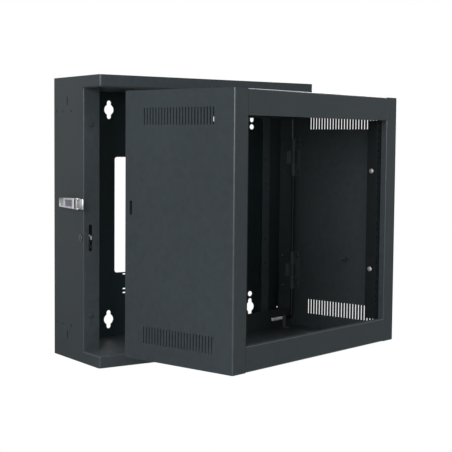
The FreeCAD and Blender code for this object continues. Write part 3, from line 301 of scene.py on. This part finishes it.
low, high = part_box("latch_rivets")
rivet_radius, latch_z = (high.z - low.z) / 2, (high.z + low.z) / 2
rivet_dome, rivet_depth, rivet_shank = 0.0012, 0.003, rivet_radius * 0.5
rivet_rows = (low.y + rivet_radius, high.y - rivet_radius)
dome_shares = ((0, 0.55), (0.28, 0.5), (0.36, 0.96), (0.6, 0.88), (0.85, 0.6), (1, 0.15), (1, 0))
rivet_profile = stretched(dome_shares, rivet_radius, rivet_dome)
rivet_profile += [(rivet_shank, 0), (rivet_shank, -rivet_depth), (0, -rivet_depth)]
rivet = turned(rivet_profile, steps=28)
to_left = Matrix.Rotation(-math.pi / 2, 4, "Y")
set_at(rivet, [Matrix.Translation((low.x + rivet_dome, y, latch_z)) @ to_left for y in rivet_rows])
fit("latch_blind_rivets", rivet, zinc, "backbox", "zinc", "latch_rivets")

# Latch lever: a tapered strip with folded edges, a rolled front edge, a pressed panel, a dished thumb rest
# and a lipped end. Two arms, welded inside its folds, turn on the stubs and carry the hook's pin.
low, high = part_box("latch_lever")
strip, fold = 0.0015, 0.0035
lever_front, lever_end = low.y + 0.0182, high.y - 0.003
front_half, panel_half = (high.z - low.z) / 2, 0.0072
panel_depth, thumb_depth = 0.0012, 0.0005
# Each station along the lever has its place, half its width, its lift towards the wall and its dish.
stations = ((lever_front, front_half, 0.0018, 0),
            (lever_front + 0.0024, front_half, 0, 0),
            (lever_front + 0.0062, 0.0115, 0, 0),
            (high.y - 0.0295, 0.0106, 0, 0),
            (high.y - 0.021, 0.0103, 0, 0),
            (high.y - 0.012, 0.01, 0, 0.0014),
            (lever_end - 0.002, 0.0096, -0.0003, 0.0006),
            (lever_end, 0.0094, -0.0008, 0))
lengths, strips = len(stations) - 1, 5
lever = bmesh.new()
bmesh.ops.create_grid(lever, x_segments=strips, y_segments=lengths, size=0.5)
for point in lever.verts:
    row, step = round((0.5 - point.co.x) * strips), round((point.co.y + 0.5) * lengths)
    y, half, lift, dish = stations[step]
    across = (-half, -half, -panel_half, panel_half, half, half)[row]
    inward = (fold, 0, dish, dish, 0, fold)[row]
    point.co = (low.x + lift + inward, y, latch_z + across)
pressings = ((stations[2][0], stations[3][0], panel_depth, 1),
             (stations[4][0], stations[6][0], thumb_depth, 2))
for start, end, depth, slot in pressings:
    chosen = [face for face in lever.faces if start < face.calc_center_median().y < end
              and abs(face.calc_center_median().z - latch_z) < panel_half]
    pressed = bmesh.ops.extrude_face_region(lever, geom=chosen)["geom"]
    bmesh.ops.delete(lever, geom=chosen, context="FACES_ONLY")
    bmesh.ops.translate(lever, vec=(depth, 0, 0), verts=only(BMVert, pressed))
    for face in only(BMFace, pressed):
        face.material_index = slot
lever.normal_update()
bmesh.ops.solidify(lever, geom=lever.faces[:], thickness=-strip)
joints = {joint["name"]: joint for joint in frame["joints"]}
pivot_x, pivot_y, _ = joints["latch_lever_turn"]["pos_m"]
pin_x, pin_y, _ = joints["latch_hook_turn"]["pos_m"]
weld_inset = 0.00005
arm_edge, arm_end = low.x + weld_inset, lever_front + strip
eye_half, eye_reach, eye_side, pin_wall = 0.0028, 0.0047, 0.005, 0.0032
arm_profile = ((arm_edge, arm_end), (arm_edge, pivot_y - eye_half), (pivot_x - eye_half, pivot_y - eye_reach),
               (pivot_x + eye_half, pivot_y - eye_reach), (pivot_x + eye_side, pivot_y),
               (pin_x + pin_wall, pin_y), (pivot_x, arm_end))
for foot in (low.z + weld_inset, high.z - strip + weld_inset):
    arm = lever.faces.new([lever.verts.new((x, y, foot)) for x, y in arm_profile])
    raised = bmesh.ops.extrude_face_region(lever, geom=[arm])["geom"]
    bmesh.ops.translate(lever, vec=(0, 0, strip - 2 * weld_inset), verts=only(BMVert, raised))


def soften(piece):
    """Rounds a piece's sharp edges a little."""
    edges = piece.modifiers.new("soft_edges", "BEVEL")
    edges.width = 0.0003
    edges.segments = 2
    edges.limit_method = "ANGLE"
    edges.angle_limit = math.radians(40)


# The lever's pressed panel gets a darker, blue-grey plating; its darkness is painted shade in the pressing.
blue_zinc_painted_shade = dull_plate("blue_zinc_painted_shade", (0.2, 0.205, 0.245, 1), shine=0.6, metallic=1.0)
lever_piece = fit("latch_lever_pressed", lever, zinc, "latch_lever", "zinc", "latch_lever")
lever_piece.data.materials.append(blue_zinc_painted_shade)
lever_piece.data.materials.append(dull_zinc_and_painted_shade)
soften(lever_piece)
dress(zinc, "latch_hook_pin")

# Latch hook: a strip curled round the lever's pin, widened past the ears, with two pressed ribs and a tip
# turned in to catch the centre section's slot. It hangs a little out from the wall.
hook_strip, hook_half, hook_wide, rib = 0.0018, 0.0085, 0.0112, 0.0006
tip_half = hook_wide * 0.9
curl, curl_start, curl_step, curl_points = 0.0023, 300, 25, 12
hook_path = []
for step in range(curl_points):
    turn = math.radians(curl_start - curl_step * step)
    hook_path.append((pin_x + curl * math.cos(turn), pin_y + curl * math.sin(turn), hook_half))
# Each point of the flat part has its offset from the curl's side, its place and half its width.
flat_path = ((0, pin_y, hook_half), (0, -0.1375, hook_half), (0, -0.14, hook_wide), (0, -0.1445, hook_wide),
             (-rib, -0.146, hook_wide), (0, -0.1475, hook_wide), (0, -0.1495, hook_wide),
             (-rib, -0.151, hook_wide), (0, -0.1525, hook_wide), (0, -0.1585, hook_wide),
             (0.0006, -0.16, hook_wide), (0.0018, -0.1606, hook_wide), (0.0027, -0.1606, tip_half))
hook_path += [(pin_x + curl + offset, y, half) for offset, y, half in flat_path]
hook = bmesh.new()
x, y, half = hook_path[0]
edge = hook.edges.new([hook.verts.new((x, y, latch_z + side * half)) for side in (-1, 1)])
for x, y, half in hook_path[1:]:
    edge = only(BMEdge, bmesh.ops.extrude_edge_only(hook, edges=[edge])["geom"])[0]
    for point in edge.verts:
        point.co = (x, y, latch_z + math.copysign(half, point.co.z - latch_z))
# The curl round the pin gets the darker, duller plating: painted shade between lever and hook.
curl_reach = curl * 1.5
for face in hook.faces:
    if (face.calc_center_median().xy - Vector((pin_x, pin_y))).length < curl_reach:
        face.material_index = 1
hang_angle = math.radians(-13)
hung_out = Matrix.Rotation(hang_angle, 4, "Z")
bmesh.ops.rotate(hook, cent=(pin_x, pin_y, 0), matrix=hung_out, verts=hook.verts)
hook_piece = fit("latch_hook_pressed", hook, zinc, "latch_hook", "zinc", "latch_hook")
hook_piece.data.materials.append(dull_zinc_and_painted_shade)
thick = hook_piece.modifiers.new("strip", "SOLIDIFY")
thick.thickness = hook_strip
thick.offset = 0
soften(hook_piece)


# Key lock: a black-faced housing clamped in the wall by a nut. Its plug turns a dark cam, held by a plated
# cross-recessed screw. Where its finger shows in the flange's slot the cam is painted pale: a painted
# highlight.
def cross_screw(head, rise, shank, depth, turns):
    """A pan head with a cross recess over a ridged shank; its underside is at height 0."""
    slot_half, slot_reach, slot_taper, slot_depth = 0.1, 0.4, 0.75, rise * 0.55
    crown_drop, groove, tip = 0.45, shank * 0.42, shank * 0.3
    shape = bmesh.new()
    bmesh.ops.create_grid(shape, x_segments=7, y_segments=7, size=1.0)
    recess = []
    for face in shape.faces:
        nearer, further = sorted(abs(part) for part in face.calc_center_median().xy)
        if nearer < slot_half and further < slot_reach:
            recess.append(face)
    for point in shape.verts:
        square = max(abs(point.co.x), abs(point.co.y))
        flat = point.co.xy.normalized() * square * head / 2
        point.co = (flat.x, flat.y, rise * (1 - crown_drop * square ** 3))
    sunk = bmesh.ops.extrude_face_region(shape, geom=recess)["geom"]
    bmesh.ops.delete(shape, geom=recess, context="FACES_ONLY")
    slot_floor = only(BMVert, sunk)
    bmesh.ops.scale(shape, vec=(slot_taper, slot_taper, 1), verts=slot_floor)
    bmesh.ops.translate(shape, vec=(0, 0, -slot_depth), verts=slot_floor)
    rings = [(head / 2, 0), (shank / 2, 0)]
    for ridge in range(turns):
        rings += [(groove, -depth * (ridge + 0.5) / turns), (shank / 2, -depth * (ridge + 1) / turns)]
    rings.append((tip, -depth))
    rim = [edge for edge in shape.edges if edge.is_boundary]
    for radius, level in rings:
        grown = bmesh.ops.extrude_edge_only(shape, edges=rim)["geom"]
        rim = only(BMEdge, grown)
        for point in only(BMVert, grown):
            flat = point.co.xy.normalized() * radius
            point.co = (flat.x, flat.y, level)
    bmesh.ops.edgeloop_fill(shape, edges=rim)
    return shape


def dark_metal_with_painted_highlight(name, dark, bright, rough, metal, axis, start, end):
    """Dark metal that turns pale from one place to another along an axis; the pale part is a painted
    highlight.
    """
    dark_rough, dark_metal = 0.55, 1.0
    made = skinned(name, plated_skin, bump=0.1, depth=fine_relief, metallic=dark_metal)
    tree = made.node_tree
    skin = next(node for node in tree.nodes if node.type == "GROUP").inputs
    place = read_place(tree)
    along = add_node(tree, "ShaderNodeSeparateXYZ", Vector=place).outputs[axis]
    blotch = noise(tree, place, scale=300.0, detail=3.0)
    ragged = abs(end - start)
    along = calculate(tree, "ADD", blend_between(tree, blotch, -ragged, ragged), along)
    highlight_share = share_passed(tree, along, start, end)
    # A mix node keeps its two colours in sockets 6 and 7, and gives the mixed one as output 2.
    tint = add_node(tree, "ShaderNodeMix", {"data_type": "RGBA"}, Factor=highlight_share, _6=dark, _7=bright)
    tree.links.new(tint.outputs[2], skin["Tint"])
    tree.links.new(blend_between(tree, highlight_share, dark_rough, rough), skin["Shine"])
    if metal != dark_metal:
        highlight_metal = blend_between(tree, highlight_share, dark_metal, metal)
        tree.links.new(highlight_metal, tree.nodes["Principled BSDF"].inputs["Metallic"])
    return made


black_face = skinned("black_lacquer", powder_skin, bump=0.1, depth=0.0001, Tint=(0.012, 0.013, 0.014, 1),
                     Shine=0.24)
dress(black_face, "lock_housing")
dress(dull_zinc_and_painted_shade, "lock_nut")
lock_steel = skinned("lock_steel", plated_skin, bump=0.1, depth=fine_relief, metallic=1.0,
                     Tint=(0.07, 0.085, 0.092, 1), Shine=0.3)
dress(lock_steel, "lock_plug")
# Between these heights on its finger the cam's tint turns from dark to a pale painted highlight.
finger_root, finger_highlight = -0.0425, -0.0405
cam_steel = dark_metal_with_painted_highlight("cam_steel", (0.04, 0.043, 0.046, 1), (0.55, 0.56, 0.57, 1), rough=0.36, metal=1.0,
                         axis="Z", start=finger_root, end=finger_highlight)
dress(cam_steel, "lock_cam")
low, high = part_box("cam_screw")
screw_y, screw_z = (low.y + high.y) / 2, (low.z + high.z) / 2
screw_rise = 0.003
cam_screw = cross_screw(head=high.z - low.z, rise=screw_rise, shank=0.0045, depth=0.003, turns=4)
to_right = Matrix.Rotation(math.pi / 2, 4, "Y")
set_at(cam_screw, [Matrix.Translation((high.x - screw_rise, screw_y, screw_z)) @ to_right])
fit("cam_cross_screw", cam_screw, zinc, "lock", "zinc", "cam_screw")

# Centre section: two side panels with vent slots and front stiles, closed by a top and a bottom plate.
# They are folded sheets in the same powder, glossier at the bends, welded at the corners, and they swing
# on the hinge rod.
swing = joints["centre_swing"]
rest_angle = math.radians(-swing["range_deg"][0])
hinge_line = Matrix.Translation(swing["pos_m"])
swung = hinge_line @ Matrix.Rotation(rest_angle, 4, "Z") @ hinge_line.inverted()
swung_charcoal = powder("swung_charcoal_powder", charcoal_tint, satin, Turn=-rest_angle, Gloss=0.7)
dress(swung_charcoal, "centre_side_left", "centre_side_right", "centre_top", "centre_bottom")

# Rack rails: folded channels with tapped holes in a black coat, carried by four brackets. Cross-recessed
# screws, plated and gone dull, hold each rail to its brackets.
black_coat = skinned("black_coat", powder_skin, bump=0.5, depth=0.0004, specular=0.08,
                     Tint=(0.008, 0.0105, 0.0115, 1), Shine=0.4)
dress(black_coat, "rack_rail_left", "rack_rail_right")
dress(swung_charcoal, "rail_bracket_left_upper", "rail_bracket_left_lower", "rail_bracket_right_upper",
      "rail_bracket_right_lower")
rail_screw = cross_screw(head=0.0105, rise=0.0032, shank=0.0048, depth=0.0055, turns=6)
rail_x, rail_y, rail_z = 0.2254, -0.4095, 0.11
set_at(rail_screw, [swung @ Matrix.Translation((x, rail_y, level)) @ inward
                    for x, inward in ((-rail_x, to_right), (rail_x, to_left))
                    for level in (-rail_z, rail_z)])
fit("rail_cross_screws", rail_screw, dull_zinc_and_painted_shade, "centre", "zinc", "rail_screws")


# Hinges: a fixed leaf on the right flange and a moving leaf inside the right panel, pressed from thicker
# strip. The moving leaf is coated a little paler than the rack. Black cross-recessed screws hold them.
def leaf_screws(places):
    """The screws of the hinges' leaves at several places."""
    shape = cross_screw(head=0.0076, rise=0.0024, shank=0.004, depth=0.0039, turns=4)
    set_at(shape, places)
    return shape


hinge_coat = powder("hinge_coat", (0.044, 0.052, 0.056, 1), shine=0.42)
dress(hinge_coat, "hinge_leaf_moving_upper", "hinge_leaf_moving_lower")
matt_charcoal = powder("matt_charcoal_powder", charcoal_tint, satin)
dress(matt_charcoal, "hinge_leaf_fixed_upper", "hinge_leaf_fixed_lower")
black_zinc = skinned("black_zinc", plated_skin, bump=0.1, depth=fine_relief, metallic=1.0,
                     Tint=(0.05, 0.053, 0.056, 1), Shine=0.42)
hinge_z, screw_offset = 0.137, 0.036
hinge_levels = [side * hinge_z + step * screw_offset for side in (-1, 1) for step in (-1, 1)]
fixed_x, fixed_y, moving_x, moving_y = 0.2555, -0.1435, 0.2805, -0.1655
fixed_screws = leaf_screws([Matrix.Translation((fixed_x, fixed_y, level)) @ to_front
                            for level in hinge_levels])
fit("hinge_fixed_cross_screws", fixed_screws, black_zinc, "backbox", "zinc", "hinge_fixed_screws")
moving_screws = leaf_screws([swung @ Matrix.Translation((moving_x, moving_y, level)) @ to_left
                             for level in hinge_levels])
fit("hinge_moving_cross_screws", moving_screws, black_zinc, "centre", "zinc", "hinge_moving_screws")


# Hinge rod: one steel rod through all the knuckles, with its lower end bent into a handle. The upright is
# painted near black as painted shade, and the handle pale as a painted highlight. A spring clip on the floor
# of the centre section carries it.
def swept(rings, segments):
    """A bmesh of a tube through rings, each given by the matrix that takes the unit circle there."""
    shape = bmesh.new()
    bmesh.ops.create_circle(shape, cap_ends=True, segments=segments, radius=1.0, matrix=rings[0])
    rim = shape.edges[:]
    for before, after in zip(rings, rings[1:]):
        grown = bmesh.ops.extrude_edge_only(shape, edges=rim)["geom"]
        rim = only(BMEdge, grown)
        bmesh.ops.transform(shape, matrix=after @ before.inverted(), verts=only(BMVert, grown))
    bmesh.ops.edgeloop_fill(shape, edges=rim)
    return shape


rod_x, rod_y, _ = swing["pos_m"]


def ring(x, z, turn, radius):
    """A ring about the rod's path, turned from the upright towards the handle."""
    spread = Matrix.Diagonal((radius, radius, radius, 1))
    return swung @ Matrix.Translation((x, rod_y, z)) @ Matrix.Rotation(turn, 4, "Y") @ spread


low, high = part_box("hinge_rod")
rod_radius, rod_bend, rod_handle = 0.004, 0.01, 0.079
rod_chamfer, chamfer_share, bend_steps = 0.0012, 0.7, 10
# Between these places along the rod, the upright's near-black painted shade turns into the handle's pale
# painted highlight.
shade_until, highlight_from = low.x + 0.041, low.x + 0.038
handle_z, handle_x, level_turn = low.z + rod_radius, rod_x - rod_handle, math.pi / 2
rings = [ring(rod_x, high.z, 0, rod_radius * chamfer_share), ring(rod_x, high.z - rod_chamfer, 0, rod_radius)]
for step in range(bend_steps + 1):
    turn = level_turn * step / bend_steps
    rings.append(ring(rod_x - rod_bend + rod_bend * math.cos(turn),
                      handle_z + rod_bend - rod_bend * math.sin(turn), turn, rod_radius))
rounded_end = ((0.8, 1), (0.45, 0.92), (0.15, 0.7), (0, 0.4))
rings += [ring(handle_x + inset * rod_radius, handle_z, level_turn, share * rod_radius)
          for inset, share in rounded_end]
rod_steel = dark_metal_with_painted_highlight("rod_steel", (0.02, 0.022, 0.024, 1), (0.97, 0.97, 0.96, 1), rough=0.24, metal=0.05,
                         axis="X", start=shade_until, end=highlight_from)
fit("hinge_rod_bent", swept(rings, segments=24), rod_steel, "centre", "zinc", "hinge_rod")
spring_steel = skinned("spring_steel", plated_skin, bump=0.15, depth=fine_relief, metallic=0.4,
                       Tint=(0.14, 0.145, 0.155, 1), Shine=0.45)
dress(spring_steel, "rod_clip")

# Earth stud: a threaded steel stud on a round foot, welded inside the right panel, with a hexagon nut on
# it. Both are coated with the panel.
stud_radius, stud_foot, stud_length = 0.003, 0.0015, 0.015
thread, thread_turns, thread_root, stud_end = 0.0008, 15, stud_radius * 0.87, stud_radius * 0.7
foot_radius, foot_top, foot_side = 0.006, 0.0055, stud_foot * 0.7
stud_profile = [(0, 0), (foot_radius, 0), (foot_radius, foot_side), (foot_top, stud_foot),
                (stud_radius, stud_foot)]
for ridge in range(thread_turns):
    stud_profile.append((thread_root, stud_foot + thread * (ridge + 0.5)))
    stud_profile.append((stud_radius, stud_foot + thread * (ridge + 1)))
stud_profile += [(stud_end, stud_length), (0, stud_length)]
stud = turned(stud_profile, steps=24)
stud_x, stud_y, stud_z = 0.283, -0.304, -0.098
stud_place = swung @ Matrix.Translation((stud_x, stud_y, stud_z)) @ to_left
set_at(stud, [stud_place])
fit("earth_stud_threaded", stud, matt_charcoal, "centre", "zinc", "earth_stud")
nut_radius, nut_height = 0.00575, 0.005
chamfer_inset, chamfer_round = nut_radius * 0.1, nut_radius * 0.06
nut = bmesh.new()
bmesh.ops.create_cone(nut, cap_ends=True, segments=6, radius1=nut_radius, radius2=nut_radius,
                      depth=nut_height, matrix=Matrix.Translation((0, 0, stud_foot + nut_height / 2)))
nearly_level = 0.9
caps = [face for face in nut.faces if abs(face.normal.z) > nearly_level]
bmesh.ops.inset_individual(nut, faces=caps, thickness=chamfer_inset, depth=0)
bmesh.ops.bevel(nut, geom=[edge for face in caps for edge in face.edges], offset=chamfer_round, segments=2,
                profile=0.5, affect="EDGES", material=-1)
set_at(nut, [stud_place])
fit("earth_nut_hexagon", nut, matt_charcoal, "centre", "zinc", "earth_nut")

# Studio: a pale floor well below the rack, a white surround, broad lamps and a camera at the
# photograph's viewing angle. The floor fades into the surround a few steps away.
lens_px, picture_px = 1137.4, 452.0
yaw, pitch, roll = math.radians(34.431), math.radians(4.133), math.radians(0.521)
camera_place = Matrix.Translation((-1.4131, -2.3314, 0.1679))
overhead = Vector((0, 0, 1))
ahead = Vector((math.sin(yaw), math.cos(yaw), 0))
aside = Vector((math.cos(yaw), -math.sin(yaw), 0))
look = ahead * math.cos(pitch) - overhead * math.sin(pitch)
above = overhead * math.cos(pitch) + ahead * math.sin(pitch)
right = aside * math.cos(roll) + above * math.sin(roll)
upright = above * math.cos(roll) - aside * math.sin(roll)
camera = bpy.data.objects.new("camera", bpy.data.cameras.new("camera"))
camera.data.sensor_width = 36.0
camera.data.lens = lens_px / picture_px * camera.data.sensor_width
camera.matrix_world = camera_place @ Matrix((right, upright, -look)).transposed().to_4x4()
scene.collection.objects.link(camera)
scene.camera = camera

floor_half, floor_level = 9.0, Matrix.Translation((0, 0, -1.4))
floor_mesh = bmesh.new()
bmesh.ops.create_grid(floor_mesh, x_segments=1, y_segments=1, size=floor_half, matrix=floor_level)
floor_data = bpy.data.meshes.new("floor")
floor_mesh.to_mesh(floor_data)
floor_mesh.free()
floor = bpy.data.objects.new("floor", floor_data)
scene.collection.objects.link(floor)
pale = bpy.data.materials.new("pale_floor")
pale.use_nodes = True
tree = pale.node_tree
tree.nodes.clear()
white = (1, 1, 1, 1)
ray = add_node(tree, "ShaderNodeLightPath").outputs
matt = add_node(tree, "ShaderNodeBsdfDiffuse", Color=(0.86, 0.86, 0.86, 1))
glow = add_node(tree, "ShaderNodeEmission", Color=white, Strength=1.0)
level_part = add_node(tree, "ShaderNodeVectorMath", {"operation": "MULTIPLY"}, _0=read_place(tree),
                      _1=(1, 1, 0)).outputs[0]
away = add_node(tree, "ShaderNodeVectorMath", {"operation": "LENGTH"}, _0=level_part).outputs["Value"]
fade_start, fade_end, near_glow = 0.6, 2.2, 0.8
fade = blend_between(tree, share_passed(tree, away, fade_start, fade_end), low=near_glow, high=1.0)
seen = calculate(tree, "MULTIPLY", ray["Is Camera Ray"], fade)
mixed = add_node(tree, "ShaderNodeMixShader", Fac=seen, _1=matt.outputs[0], _2=glow.outputs[0])
add_node(tree, "ShaderNodeOutputMaterial", Surface=mixed.outputs[0])
floor_data.materials.append(pale)

scene.world = bpy.data.worlds.new("surround")
scene.world.use_nodes = True
tree = scene.world.node_tree
tree.nodes.clear()
ray = add_node(tree, "ShaderNodeLightPath").outputs
seen = calculate(tree, "MAXIMUM", ray["Is Camera Ray"], ray["Is Glossy Ray"])
seen = calculate(tree, "MAXIMUM", seen, ray["Is Transmission Ray"])
sky = add_node(tree, "ShaderNodeBackground", Color=white, Strength=seen)
add_node(tree, "ShaderNodeOutputWorld", Surface=sky.outputs[0])

rack_middle = Vector((0, -0.25, 0))


def lamp(name, at, size, watts):
    """A square soft lamp that looks at the rack."""
    made = bpy.data.objects.new(name, bpy.data.lights.new(name, "AREA"))
    made.data.size = size
    made.data.energy = watts
    made.location = at
    made.rotation_euler = (rack_middle - Vector(at)).to_track_quat("-Z", "Y").to_euler()
    scene.collection.objects.link(made)


lamp("key_lamp", (-3.0, -2.4, 1.0), size=1.8, watts=106.0)
lamp("top_lamp", (-0.6, -1.4, 3.2), size=2.0, watts=70.0)
lamp("fill_lamp", (2.0, -2.6, 2.6), size=1.8, watts=42.0)
lamp("front_lamp", (-1.5, -2.9, 0.4), size=0.8, watts=15.0)
lamp("back_lamp", (3.0, 1.5, 1.2), size=2.0, watts=90.0)
scene.view_settings.view_transform = "Standard"
